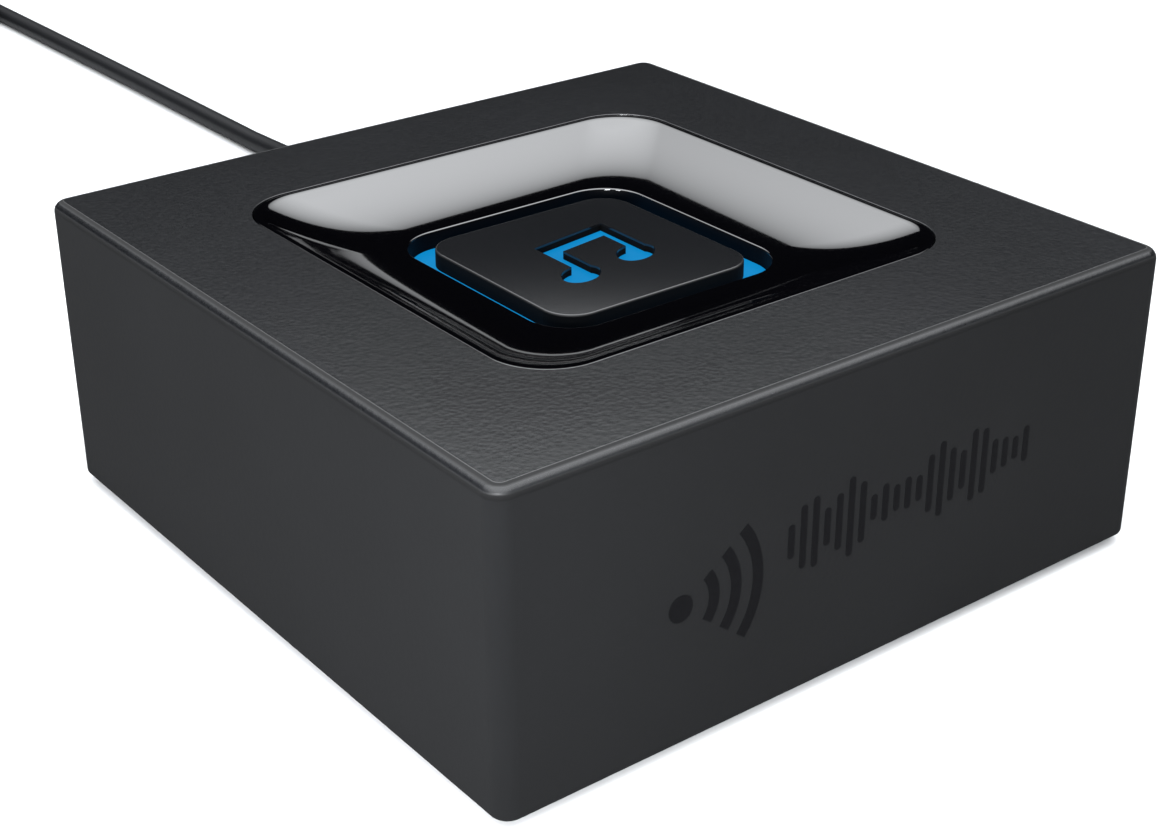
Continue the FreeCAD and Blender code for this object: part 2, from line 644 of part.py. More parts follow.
def usb_grip():
    left, right = USB_X - USB_GRIP_HALF, USB_X + USB_GRIP_HALF
    grip = box(left, right, USB_GRIP_START, USB_GRIP_END, 0.0, COIL_HEIGHT)
    grip = grip.makeFillet(1.2, grip.Edges)
    cone_start = USB_GRIP_END - 0.5
    relief = Part.makeCone(RELIEF_R, 1.4, USB_RELIEF_END - cone_start,
                           Vector(USB_X, cone_start, USB_Z), Vector(0, 1, 0))
    for step in range(4):
        y = USB_GRIP_END + 1.0 + 1.7 * step
        groove = lying(RELIEF_R + 1.5, USB_X, USB_Z, y, y + 0.7)
        relief = relief.cut(groove.cut(lying(RELIEF_CORE_R, USB_X, USB_Z, y - 1, y + 2)))
    return grip.fuse(relief).removeSplitter().cut(usb_block(0.0, USB_TIP - 5, USB_ROOT))


def usb_shell():
    """Folded steel shell of the plug, with its two latch windows."""
    shell = usb_block(0.0, USB_TIP, USB_ROOT)
    along = [e for e in shell.Edges if abs(e.BoundBox.YLength - (USB_ROOT - USB_TIP)) < 1e-3]
    shell = shell.makeFillet(0.4, along)
    shell = shell.cut(usb_block(USB_SHEET, USB_TIP - 1, USB_ROOT - 1))
    for x in (-2.3, 2.3):
        shell = shell.cut(box(USB_X + x - 1.1, USB_X + x + 1.1, 100.0, 102.2, USB_Z, USB_Z + 3))
    return shell


def usb_insert():
    left, right = USB_X - USB_GRIP_HALF, USB_X + USB_GRIP_HALF
    return box(left, right, USB_TIP + 0.5, USB_ROOT - 1, USB_Z - 1.9, USB_Z - 0.1)


def usb_contacts():
    strips = []
    for x in (-3.5, -1.0, 1.0, 3.5):
        left, right = USB_X + x - 0.5, USB_X + x + 0.5
        strips.append(box(left, right, USB_TIP + 1.1, 104.0, USB_Z - 0.1, USB_Z + 0.02))
    return Part.makeCompound(strips)


# ---------------------------------------------------------------- write every node
save(top_housing(), "top_housing")
save(bottom_cover(), "bottom_cover")
save(foot_pad(), "foot_pad")
save(cover_screws(), "cover_screws")
save(bezel(), "bezel")
save(button_cap(), "button_cap")
save(light_guide(), "light_guide")
save(switch_body(), "switch_body")
save(switch_plunger(), "switch_plunger")
save(light_reflector(), "light_reflector")
save(main_board(), "main_board")
save(board_screws(), "board_screws")
save(radio_board(), "radio_board")
save(radio_shield(), "radio_shield")
save(audio_chip(), "audio_chip")
save(capacitors(), "capacitors")
save(power_inductor(), "power_inductor")
save(clock_crystal(), "clock_crystal")
save(status_leds(), "status_leds")
save(rca_housing(), "rca_housing")
for SIDE in ("left", "right"):
    save(rca_shell(SIDE), "rca_shell_" + SIDE)
    save(rca_insulator(SIDE), "rca_insulator_" + SIDE)
    save(rca_contact(SIDE), "rca_contact_" + SIDE)
save(audio_jack_body(), "audio_jack_body")
save(audio_jack_ferrule(), "audio_jack_ferrule")
save(audio_jack_contacts(), "audio_jack_contacts")
save(power_jack_body(), "power_jack_body")
save(power_jack_pin(), "power_jack_pin")
save(plug_barrel(), "plug_barrel")
save(plug_insulator(), "plug_insulator")
save(plug_grip(), "plug_grip")
save(cord_tube(LEAD_ROUTE, "power_lead"), "power_lead")
save(cord_tube(TAIL_ROUTE, "lead_tail"), "lead_tail")
save(lead_coil(), "lead_coil")
save(lead_tie(), "lead_tie")
save(usb_grip(), "usb_grip")
save(usb_shell(), "usb_shell")
save(usb_insert(), "usb_insert")
save(usb_contacts(), "usb_contacts")
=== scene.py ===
"""Looks of a small desktop wireless audio receiver: matt square case, gloss dish, lit push
button, rear sockets and a tied power lead. Everything is in metres, in the frame of the part:
+Z up, -Y the plain front, +Y the rear, origin on the table under the middle of the case."""
import math

import bmesh
import bpy
from mathutils import Matrix, Vector


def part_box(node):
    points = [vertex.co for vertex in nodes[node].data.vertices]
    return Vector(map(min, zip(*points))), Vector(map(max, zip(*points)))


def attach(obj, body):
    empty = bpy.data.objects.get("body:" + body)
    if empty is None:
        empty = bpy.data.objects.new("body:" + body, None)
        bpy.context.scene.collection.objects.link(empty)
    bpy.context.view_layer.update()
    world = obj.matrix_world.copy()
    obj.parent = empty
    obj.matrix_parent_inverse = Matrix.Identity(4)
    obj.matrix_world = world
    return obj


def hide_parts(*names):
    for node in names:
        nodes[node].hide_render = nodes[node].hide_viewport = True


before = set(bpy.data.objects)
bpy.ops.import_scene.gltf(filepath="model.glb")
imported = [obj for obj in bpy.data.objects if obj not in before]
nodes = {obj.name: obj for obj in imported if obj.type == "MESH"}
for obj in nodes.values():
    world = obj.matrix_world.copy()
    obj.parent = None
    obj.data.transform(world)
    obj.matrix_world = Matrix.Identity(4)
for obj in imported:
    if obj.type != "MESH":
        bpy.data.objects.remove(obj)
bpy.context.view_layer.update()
MM = 0.001

# ---------------------------------------------------------------- studio
# A still camera close to the front left corner, a pale table and one very large round
# overhead light. The light ends about 31 degrees above the horizon, so the gloss dish
# mirrors it on the far slopes and stays black where it is level.
CAMERA_AT = (-74.075, -96.023, 68.21)
TURNED = -37.505
LOOKING_DOWN = 26.786
ROLLED = -0.262
camera_data = bpy.data.cameras.new("camera")
camera_data.sensor_width = 36.0
camera_data.lens = 62.59
camera_data.clip_start = 0.005
camera_data.clip_end = 50.0
camera = bpy.data.objects.new("camera", camera_data)
heading = Matrix.Rotation(math.radians(TURNED), 4, "Z")
tilt = Matrix.Rotation(math.radians(90 - LOOKING_DOWN), 4, "X")
roll = Matrix.Rotation(math.radians(ROLLED), 4, "Z")
standpoint = Matrix.Translation(Vector(CAMERA_AT) * MM)
camera.matrix_world = standpoint @ heading @ tilt @ roll
bpy.context.scene.collection.objects.link(camera)
bpy.context.scene.camera = camera
bpy.context.scene.view_settings.view_transform = "Standard"


def linear(code):
    """An sRGB hex colour as linear red, green, blue and alpha."""
    parts = [int(code[i:i + 2], 16) / 255 for i in (0, 2, 4)]
    plain = [c / 12.92 if c <= 0.04045 else ((c + 0.055) / 1.055) ** 2.4 for c in parts]
    return (*plain, 1.0)


def add_node(tree, kind, sockets=(), **settings):
    """Add a node with its settings; a socket is given a value or another node's output.

    The two colours of a colour Mix are its sockets 6 and 7, and its result is output 2.
    """
    node = tree.nodes.new(kind)
    for name, value in settings.items():
        setattr(node, name, value)
    for key, value in dict(sockets).items():
        if isinstance(value, bpy.types.NodeSocket):
            tree.links.new(value, node.inputs[key])
        else:
            node.inputs[key].default_value = value
    return node


def new_material(name, **constants):
    """A material with one Principled shader whose plain constants are set on its sockets."""
    material = bpy.data.materials.new(name)
    material.use_nodes = True
    shader = material.node_tree.nodes["Principled BSDF"]
    for key, value in constants.items():
        shader.inputs[key.replace("_", " ")].default_value = value
    return material, material.node_tree, shader


def wear_material(piece, material):
    """Give a piece one finish all over."""
    piece.data.materials.clear()
    piece.data.materials.append(material)


# White laminate with a faint mottle.
table_material, tree, shader = new_material("laminate_table", Roughness=0.6,
                                            Specular_IOR_Level=0.2)
place = add_node(tree, "ShaderNodeTexCoord")
mottle = add_node(tree, "ShaderNodeTexNoise", {"Vector": place.outputs["Object"], "Scale": 6.0})
pale = add_node(tree, "ShaderNodeMix", {"Factor": mottle.outputs["Fac"], 6: linear("cbcccd"),
                                        7: linear("cfcfcf")}, data_type="RGBA")
ray = add_node(tree, "ShaderNodeLightPath")
# The table is dimmer in reflections, so it does not wash out the upright sides.
mirrored = add_node(tree, "ShaderNodeMix", {
    "Factor": ray.outputs["Is Glossy Ray"], 6: pale.outputs[2], 7: linear("9a9b9c")},
    data_type="RGBA")
tree.links.new(mirrored.outputs[2], shader.inputs["Base Color"])

TABLE_HALF = 0.7
TABLE_GAP = 0.00002
table_mesh = bpy.data.meshes.new("table")
table_corners = [(x * TABLE_HALF, y * TABLE_HALF, -TABLE_GAP)
                 for x, y in ((-1, -1), (1, -1), (1, 1), (-1, 1))]
table_mesh.from_pydata(table_corners, [], [(0, 1, 2, 3)])
table = bpy.data.objects.new("table", table_mesh)
bpy.context.scene.collection.objects.link(table)
wear_material(table, table_material)

SKY_HEIGHT = 0.8
SKY_BRIGHTNESS = 4.6
SKY_EDGE_ELEVATION = math.radians(31)
LAMP_TINT = (0.955, 0.975, 1.0)
SKY_CORE = 0.45
SKY_EDGE_SHARE = 0.2
sky_data = bpy.data.lights.new("overhead", "AREA")
sky_data.shape = "DISK"
sky_data.size = 2 * SKY_HEIGHT / math.tan(SKY_EDGE_ELEVATION)
sky_data.energy = SKY_BRIGHTNESS * math.pi ** 2 * (sky_data.size / 2) ** 2
sky_data.color = LAMP_TINT
sky_data.use_nodes = True
sky_tree = sky_data.node_tree
on_light = add_node(sky_tree, "ShaderNodeNewGeometry")
on_disc = add_node(sky_tree, "ShaderNodeVectorMath", {0: on_light.outputs["Position"],
                                                      1: (1.0, 1.0, 0.0)}, operation="MULTIPLY")
off_centre = add_node(sky_tree, "ShaderNodeVectorMath", {0: on_disc.outputs[0]},
                      operation="LENGTH")
feather = add_node(sky_tree, "ShaderNodeMapRange", {
    "Value": off_centre.outputs["Value"], "From Min": SKY_CORE, "From Max": sky_data.size / 2,
    "To Min": 1.0, "To Max": SKY_EDGE_SHARE})
sky_tree.links.new(feather.outputs["Result"], sky_tree.nodes["Emission"].inputs["Strength"])
sky = bpy.data.objects.new("overhead", sky_data)
sky.location = (0.0, 0.0, SKY_HEIGHT)
bpy.context.scene.collection.objects.link(sky)

# Two small soft fills: one close to the front left corner, whose light falls off along both
# visible sides, and one further out on the left. Each has its power in watts, its width, its
# place and the direction that it shines in.
FILLS = {"corner_fill": (0.225, 0.03, (-0.085, -0.085, 0.045), (0.07, 0.07, -0.03)),
         "side_fill": (0.26, 0.06, (-0.2, -0.06, 0.06), (0.2, 0.06, -0.05))}
for name, (watts, size, location, aim) in FILLS.items():
    fill_data = bpy.data.lights.new(name, "AREA")
    fill_data.shape = "DISK"
    fill_data.size = size
    fill_data.energy = watts
    fill_data.color = LAMP_TINT
    fill = bpy.data.objects.new(name, fill_data)
    fill.location = location
    fill.rotation_euler = Vector(aim).to_track_quat("-Z", "Y").to_euler()
    fill.visible_camera = False
    bpy.context.scene.collection.objects.link(fill)

# Beyond the table the room is white to look at, and nearly dark as a light.
world = bpy.data.worlds.new("studio")
world.use_nodes = True
room = world.node_tree
ray = add_node(room, "ShaderNodeLightPath")
seen = add_node(room, "ShaderNodeMix", {"Factor": ray.outputs["Is Camera Ray"],
                                        6: linear("050506"), 7: linear("ffffff")},
                data_type="RGBA")
room.links.new(seen.outputs[2], room.nodes["Background"].inputs["Color"])
bpy.context.scene.world = world

# ---------------------------------------------------------------- power lead
# A 1.9 mm two-core lead in a matt extruded jacket. It leaves the plug's strain relief, drops
# to the table, runs straight back and is wound into a tied coil that ends at the far plug.
CORD_RADIUS = 0.95
COIL_CENTRE = (3.25, 150.0)
COIL_OUTER = 14.05
PITCH = 2 * CORD_RADIUS
ROWS = 4
COLUMNS = 4
TIE_ANGLE = 90.0
STRAP = 0.5
STRAP_CLEARANCE = 0.15
LIFT_ARC = 24
STEP_ARC = 50
TAIL_ARC = 90
lead_exit = (18.6, 42.0, 10.4)
lead_points = [
    lead_exit,
    (18.6, 48.5, 10.4),
    (18.5, 62.5, CORD_RADIUS),
    (18.2, 96.0, CORD_RADIUS),
    (17.8, 124.0, CORD_RADIUS),
]
tail_points = [(-11.0, 144.5, 5.4), (-12.0, 138.5, 3.7), (-12.0, 136.0, 3.7)]


def smooth_step(share):
    """Ease a share of a change in and out between 0 and 1."""
    share = min(max(share, 0.0), 1.0)
    return share * share * (3 - 2 * share)


def turn_slot(number):
    """Radius and height of the numbered turn: rows wound inwards, then outwards, and so on."""
    row, place_in_row = divmod(number, COLUMNS)
    column = place_in_row if row % 2 == 0 else COLUMNS - 1 - place_in_row
    return COIL_OUTER - PITCH * column, CORD_RADIUS + PITCH * row


def coil_point(angle):
    """Centre of the lead at an angle wound so far; it steps to its next slot at the strap."""
    steps = (angle - TIE_ANGLE) / 360
    number = math.floor(steps + 0.5)
    share = smooth_step((steps - number) * 360 / STEP_ARC + 0.5)
    last = ROWS * COLUMNS - 1
    radius_a, height_a = turn_slot(min(max(number, 0), last))
    radius_b, height_b = turn_slot(min(max(number + 1, 0), last))
    away = (angle - TIE_ANGLE + 180) % 360 - 180
    lift = (STRAP + STRAP_CLEARANCE) * math.exp(-(away / LIFT_ARC) ** 2)
    radius = radius_a + (radius_b - radius_a) * share
    height = height_a + (height_b - height_a) * share + lift
    turned = math.radians(angle)
    return (COIL_CENTRE[0] + radius * math.cos(turned),
            COIL_CENTRE[1] + radius * math.sin(turned), height)


TURN_STEP = 15
last_angle = TIE_ANGLE + 360 * (ROWS * COLUMNS - 2) + TAIL_ARC
coil_points = [coil_point(angle) for angle in range(0, int(last_angle) + 1, TURN_STEP)]
lead_curve = bpy.data.curves.new("lead", "CURVE")
lead_curve.dimensions = "3D"
lead_curve.bevel_depth = CORD_RADIUS * MM
lead_curve.bevel_resolution = 5
lead_curve.use_fill_caps = True
route = lead_points + coil_points + tail_points
spline = lead_curve.splines.new("NURBS")
spline.points.add(len(route) - 1)
for knot, point in zip(spline.points, route):
    knot.co = (*(Vector(point) * MM), 1.0)
spline.order_u = 3
spline.use_endpoint_u = True
spline.resolution_u = 5
lead = bpy.data.objects.new("lead", lead_curve)
bpy.context.scene.collection.objects.link(lead)

# Flexible PVC: matt and slightly soft, with the faint die lines and dust of an extruded jacket.
jacket, tree, shader = new_material("pvc_jacket", Specular_IOR_Level=0.25)
place = add_node(tree, "ShaderNodeTexCoord")
grain = add_node(tree, "ShaderNodeTexNoise", {"Vector": place.outputs["Object"],
                                              "Scale": 1 / (0.35 * MM), "Detail": 3.0})
cloud = add_node(tree, "ShaderNodeTexNoise", {"Vector": place.outputs["Object"],
                                              "Scale": 1 / (9 * MM)})
tone = add_node(tree, "ShaderNodeMix", {"Factor": cloud.outputs["Fac"], 6: linear("0c0d0f"),
                                        7: linear("121315")}, data_type="RGBA")
tree.links.new(tone.outputs[2], shader.inputs["Base Color"])
matt = add_node(tree, "ShaderNodeMapRange", {"Value": grain.outputs["Fac"], "To Min": 0.36,
                                             "To Max": 0.48})
tree.links.new(matt.outputs["Result"], shader.inputs["Roughness"])
relief = add_node(tree, "ShaderNodeBump", {"Height": grain.outputs["Fac"], "Strength": 0.25,
                                           "Distance": 0.02 * MM})
tree.links.new(relief.outputs["Normal"], shader.inputs["Normal"])
wear_material(lead, jacket)
for name in ("plug_grip", "usb_grip"):
    wear_material(nodes[name], jacket)
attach(lead, "lead")


def new_shape_tree(name, inputs):
    """A geometry node tree with named number inputs, and its input sockets by name."""
    tree = bpy.data.node_groups.new(name, "GeometryNodeTree")
    for label, value in inputs.items():
        kind = "NodeSocketInt" if isinstance(value, int) else "NodeSocketFloat"
        tree.interface.new_socket(name=label, in_out="INPUT", socket_type=kind)
    tree.interface.new_socket(name="Geometry", in_out="OUTPUT", socket_type="NodeSocketGeometry")
    return tree, tree.nodes.new("NodeGroupInput").outputs


def mesh_piece(name, mesh, body, *materials):
    """Link a finished mesh as a piece on a body."""
    piece = bpy.data.objects.new(name, mesh)
    bpy.context.scene.collection.objects.link(piece)
    for material in materials:
        mesh.materials.append(material)
    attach(piece, body)
    return piece


def shape_from_tree(name, tree, inputs, body):
    """Evaluate a node tree once with its inputs set, and keep the result as a plain piece."""
    carrier = bpy.data.objects.new(name + "_carrier", bpy.data.meshes.new(name + "_carrier"))
    bpy.context.scene.collection.objects.link(carrier)
    maker = carrier.modifiers.new("maker", "NODES")
    maker.node_group = tree
    for item in tree.interface.items_tree:
        if item.name in inputs:
            maker[item.identifier] = inputs[item.name]
    depsgraph = bpy.context.evaluated_depsgraph_get()
    mesh = bpy.data.meshes.new_from_object(carrier.evaluated_get(depsgraph), depsgraph=depsgraph)
    carrier.modifiers.remove(maker)
    bpy.data.objects.remove(carrier)
    mesh.name = name
    piece = mesh_piece(name, mesh, body)
    return piece


# Finger ribs moulded round both grips: a row of equal rounded rings along the lead.
plug_ribs_inputs = {"Ribs": 5, "Pitch": 1.25 * MM, "Width": 8.2 * MM, "Height": 8.2 * MM,
                    "Corner": 4.05 * MM, "Thickness": 0.28 * MM, "Centre X": 18.6 * MM,
                    "First Y": 28.4 * MM, "Centre Z": 10.4 * MM}
far_ribs_inputs = {"Ribs": 7, "Pitch": 1.6 * MM, "Width": 11.2 * MM, "Height": 6.8 * MM,
                   "Corner": 1.2 * MM, "Thickness": 0.28 * MM, "Centre X": -12.0 * MM,
                   "First Y": 112.0 * MM, "Centre Z": 3.7 * MM}
tree, given = new_shape_tree("grip_ribs", plug_ribs_inputs)
outline = add_node(tree, "GeometryNodeCurvePrimitiveQuadrilateral", {"Width": given["Width"],
                                                                     "Height": given["Height"]})
rounded = add_node(tree, "GeometryNodeFilletCurve", {
    "Curve": outline.outputs["Curve"], "Count": 10, "Radius": given["Corner"],
    "Limit Radius": True}, mode="POLY")
bead = add_node(tree, "GeometryNodeCurvePrimitiveCircle", {"Resolution": 10,
                                                           "Radius": given["Thickness"]})
ring = add_node(tree, "GeometryNodeCurveToMesh", {"Curve": rounded.outputs["Curve"],
                                                  "Profile Curve": bead.outputs["Curve"]})
upright = add_node(tree, "GeometryNodeTransform", {"Geometry": ring.outputs["Mesh"],
                                                   "Rotation": (math.pi / 2, 0.0, 0.0)})
start = add_node(tree, "ShaderNodeCombineXYZ", {"X": given["Centre X"], "Y": given["First Y"],
                                                "Z": given["Centre Z"]})
spacing = add_node(tree, "ShaderNodeCombineXYZ", {"Y": given["Pitch"]})
row = add_node(tree, "GeometryNodeMeshLine", {
    "Count": given["Ribs"], "Start Location": start.outputs[0], "Offset": spacing.outputs[0]})
ribs = add_node(tree, "GeometryNodeInstanceOnPoints", {"Points": row.outputs["Mesh"],
                                                       "Instance": upright.outputs["Geometry"]})
solid_ribs = add_node(tree, "GeometryNodeRealizeInstances",
                      {"Geometry": ribs.outputs["Instances"]})
coated = add_node(tree, "GeometryNodeSetMaterial", {"Geometry": solid_ribs.outputs["Geometry"],
                                                    "Material": jacket})
add_node(tree, "NodeGroupOutput", {"Geometry": coated.outputs["Geometry"]})
plug_ribs = shape_from_tree("plug_ribs", tree, plug_ribs_inputs, "lead")
far_ribs = shape_from_tree("far_plug_ribs", tree, far_ribs_inputs, "lead")

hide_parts("power_lead", "lead_coil", "lead_tail")

# ---------------------------------------------------------------- case
# Injection-moulded ABS shell and bottom cover in charcoal. The mould is spark-eroded, which
# leaves a fine even grain that scatters light softly. The real grain is nearer 0.1 mm, and is
# drawn coarser here so that it shows.
GRAIN = 0.28
CASE_HALF = 25.4
CASE_CORNER = 1.15
CASE_TOP = 20.8
CASE_ROUND = 0.7


def moulded_plastic(name, dark, light, matt_low, matt_high, grain_size, grain_depth, gloss):
    """Moulded plastic with a grain, in millimetres, and faint clouds in its colour."""
    material, tree, shader = new_material(name, Specular_IOR_Level=gloss)
    place = add_node(tree, "ShaderNodeTexCoord")
    grain = add_node(tree, "ShaderNodeTexNoise", {
        "Vector": place.outputs["Object"], "Scale": 1 / (grain_size * MM), "Detail": 4.0,
        "Roughness": 0.6})
    pits = add_node(tree, "ShaderNodeTexVoronoi", {
        "Vector": place.outputs["Object"], "Scale": 1 / (grain_size * 1.3 * MM)})
    cloud = add_node(tree, "ShaderNodeTexNoise", {
        "Vector": place.outputs["Object"], "Scale": 1 / (14 * MM), "Detail": 2.0})
    height = add_node(tree, "ShaderNodeMath", {0: grain.outputs["Fac"],
                                               1: pits.outputs["Distance"]}, operation="ADD")
    share = add_node(tree, "ShaderNodeMath", {0: grain.outputs["Fac"], 1: cloud.outputs["Fac"]},
                     operation="MULTIPLY")
    spread = add_node(tree, "ShaderNodeMapRange", {"Value": share.outputs[0], "From Min": 0.12,
                                                   "From Max": 0.40})
    tone = add_node(tree, "ShaderNodeMix", {"Factor": spread.outputs["Result"], 6: linear(dark),
                                            7: linear(light)}, data_type="RGBA")
    matt = add_node(tree, "ShaderNodeMapRange", {"Value": grain.outputs["Fac"],
                                                 "To Min": matt_low, "To Max": matt_high})
    relief = add_node(tree, "ShaderNodeBump", {"Height": height.outputs[0], "Strength": 0.5,
                                               "Distance": grain_depth * MM})
    tree.links.new(tone.outputs[2], shader.inputs["Base Color"])
    tree.links.new(matt.outputs["Result"], shader.inputs["Roughness"])
    tree.links.new(relief.outputs["Normal"], shader.inputs["Normal"])
    return material


def finish_and_shade_by_lean(material, half, corner, top, rounding, steps):
    """Vary a moulding's roughness, and paint shade into its colour and reflection, with how far
    its surface leans from level to upright.

    Each step is lean in degrees, added roughness, and the shares of the colour and of the
    reflection that are left after the painted shade.
    """
    tree = material.node_tree
    shader = tree.nodes["Principled BSDF"]
    place = add_node(tree, "ShaderNodeTexCoord")
    from_middle = add_node(tree, "ShaderNodeVectorMath", {0: place.outputs["Object"]},
                           operation="ABSOLUTE")
    middle = (half - corner) * MM
    past = add_node(tree, "ShaderNodeVectorMath", {0: from_middle.outputs[0],
                                                   1: (middle, middle, 0.0)}, operation="SUBTRACT")
    corner_part = add_node(tree, "ShaderNodeVectorMath", {0: past.outputs[0], 1: (0.0, 0.0, 0.0)},
                           operation="MAXIMUM")
    flat_part = add_node(tree, "ShaderNodeVectorMath", {0: corner_part.outputs[0],
                                                        1: (1.0, 1.0, 0.0)}, operation="MULTIPLY")
    reach = add_node(tree, "ShaderNodeVectorMath", {0: flat_part.outputs[0]}, operation="LENGTH")
    past_flat = add_node(tree, "ShaderNodeMath", {0: reach.outputs["Value"],
                                                  1: (corner - rounding) * MM},
                         operation="SUBTRACT")
    outward = add_node(tree, "ShaderNodeMath", {0: past_flat.outputs[0], 1: 0.0},
                       operation="MAXIMUM")
    parts = add_node(tree, "ShaderNodeSeparateXYZ", {"Vector": place.outputs["Object"]})
    upward = add_node(tree, "ShaderNodeMath", {0: parts.outputs["Z"], 1: (top - rounding) * MM},
                      operation="SUBTRACT")
    lean = add_node(tree, "ShaderNodeMath", {0: outward.outputs[0], 1: upward.outputs[0]},
                    operation="ARCTAN2")
    share = add_node(tree, "ShaderNodeMath", {0: lean.outputs[0], 1: math.pi}, operation="DIVIDE")
    # Columns 2 and 3 are painted shade, darkening the colour and the reflection; column 1 adds
    # roughness.
    for column, socket in ((1, "Roughness"), (2, "Base Color"), (3, "Specular Tint")):
        ramp = add_node(tree, "ShaderNodeValToRGB", {"Fac": share.outputs[0]})
        points = ramp.color_ramp.elements
        while len(points) < len(steps):
            points.new(1.0)
        for point, step in zip(points, steps):
            point.position = step[0] / 180
            point.color = (step[column], step[column], step[column], 1.0)
        after = ramp
        if socket == "Roughness":
            before = shader.inputs[socket].links[0].from_socket
            after = add_node(tree, "ShaderNodeMath", {0: before, 1: ramp.outputs["Color"]},
                             operation="ADD")
        elif socket == "Base Color":
            before = shader.inputs[socket].links[0].from_socket
            after = add_node(tree, "ShaderNodeVectorMath", {0: before,
                                                            "Scale": ramp.outputs["Color"]},
                             operation="SCALE")
        tree.links.new(after.outputs[0], shader.inputs[socket])


# The edge radius is as smooth as the top, between two rough lines where painted shade darkens
# the colour and the reflection. The upright sides are rougher than the top, and painted shade
# darkens their colour and reflection.
case_abs = moulded_plastic("spark_eroded_abs", "0b0c0e", "111214", 0.19, 0.26, GRAIN, 0.009, 0.93)
case_steps = [(0, 0.0, 1.0, 1.0), (8, 0.75, 0.3, 0.5), (20, 0.7, 0.3, 0.5),
              (34, 0.04, 1.0, 0.55), (56, 0.06, 1.0, 0.55), (68, 0.7, 0.3, 0.3),
              (86, 0.7, 0.3, 0.2), (94, 0.72, 0.5, 0.24)]
finish_and_shade_by_lean(case_abs, CASE_HALF, CASE_CORNER, CASE_TOP, CASE_ROUND, case_steps)
for name in ("top_housing", "bottom_cover"):
    wear_material(nodes[name], case_abs)

# ---------------------------------------------------------------- front print
# A mark pad-printed on the front in black ink, darker and duller than the plastic round it: a
# sound source with three waves, and a row of sound-level bars.
PRINT_THICK = 0.02
PRINT_SUNK = 0.01
PRINT_LEVEL = 10.9
SOUND_SOURCE = (-13.4, 9.6)
DOT_RADIUS = 0.85
WAVES = 3
FIRST_WAVE = 2.0
WAVE_PITCH = 1.6
WAVE_WIDTH = 0.75
WAVE_REACH = 38
front_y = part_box("top_housing")[0].y
ink, tree, shader = new_material("pad_print_ink", Roughness=0.6, Specular_IOR_Level=0.06)
place = add_node(tree, "ShaderNodeTexCoord")
speckle = add_node(tree, "ShaderNodeTexNoise", {"Vector": place.outputs["Object"],
                                                "Scale": 1 / (0.3 * MM), "Detail": 3.0})
tone = add_node(tree, "ShaderNodeMix", {"Factor": speckle.outputs["Fac"], 6: linear("050506"),
                                        7: linear("09090b")}, data_type="RGBA")
tree.links.new(tone.outputs[2], shader.inputs["Base Color"])
relief = add_node(tree, "ShaderNodeBump", {"Height": speckle.outputs["Fac"], "Strength": 0.2,
                                           "Distance": 0.006 * MM})
tree.links.new(relief.outputs["Normal"], shader.inputs["Normal"])


def disc_outline(radius, sides=24):
    """A full circle as a list of points in the XZ plane."""
    angles = [math.radians(360 * step / sides) for step in range(sides)]
    return [(radius * math.cos(a), radius * math.sin(a)) for a in angles]


def band_outline(inner, outer, start, end, sides=14):
    """Part of a ring as a list of points in the XZ plane, with square ends."""
    angles = [math.radians(start + (end - start) * step / sides) for step in range(sides + 1)]
    far = [(outer * math.cos(a), outer * math.sin(a)) for a in angles]
    near = [(inner * math.cos(a), inner * math.sin(a)) for a in reversed(angles)]
    return far + near


def print_shape(shaped, outline, x, z):
    """Raise one printed outline off the front face."""
    front, back = front_y - PRINT_THICK * MM, front_y + PRINT_SUNK * MM
    rings = []
    for y in (front, back):
        rings.append([shaped.verts.new(((x + a) * MM, y, (z + b) * MM)) for a, b in outline])
    shaped.faces.new(rings[0])
    shaped.faces.new(list(reversed(rings[1])))
    count = len(outline)
    for i in range(count):
        j = (i + 1) % count
        shaped.faces.new((rings[0][j], rings[0][i], rings[1][i], rings[1][j]))


shaped = bmesh.new()
print_shape(shaped, disc_outline(DOT_RADIUS), *SOUND_SOURCE)
for wave in range(WAVES):
    inner = FIRST_WAVE + WAVE_PITCH * wave
    outline = band_outline(inner, inner + WAVE_WIDTH, -WAVE_REACH, WAVE_REACH)
    print_shape(shaped, outline, *SOUND_SOURCE)
bmesh.ops.recalc_face_normals(shaped, faces=shaped.faces)
print_mesh = bpy.data.meshes.new("front_print")
shaped.to_mesh(print_mesh)
shaped.free()
sound_symbol = mesh_piece("sound_symbol", print_mesh, "case", ink)

# The bars are as tall as a fast wave times a slow one, each given as radians per bar and start.
FAST_STEP, FAST_START = 0.83, 0.4
SLOW_STEP, SLOW_START = 0.29, -1.1
BAR_SIDES = 12
bars_inputs = {"Bars": 22, "Pitch": 0.92 * MM, "Width": 0.5 * MM, "Shortest": 0.5 * MM,
               "Swell": 2.0 * MM, "Thickness": 2 * PRINT_THICK * MM, "First X": -5.4 * MM,
               "Face Y": front_y, "Level": PRINT_LEVEL * MM}
tree, given = new_shape_tree("level_bars", bars_inputs)
start = add_node(tree, "ShaderNodeCombineXYZ", {"X": given["First X"], "Y": given["Face Y"],
                                                "Z": given["Level"]})
spacing = add_node(tree, "ShaderNodeCombineXYZ", {"X": given["Pitch"]})
row = add_node(tree, "GeometryNodeMeshLine", {
    "Count": given["Bars"], "Start Location": start.outputs[0], "Offset": spacing.outputs[0]})
number = add_node(tree, "GeometryNodeInputIndex").outputs[0]
fast = add_node(tree, "ShaderNodeMath", {0: number, 1: FAST_STEP, 2: FAST_START},
                operation="MULTIPLY_ADD")
slow = add_node(tree, "ShaderNodeMath", {0: number, 1: SLOW_STEP, 2: SLOW_START},
                operation="MULTIPLY_ADD")
fast_wave = add_node(tree, "ShaderNodeMath", {0: fast.outputs[0]}, operation="SINE")
slow_wave = add_node(tree, "ShaderNodeMath", {0: slow.outputs[0]}, operation="COSINE")
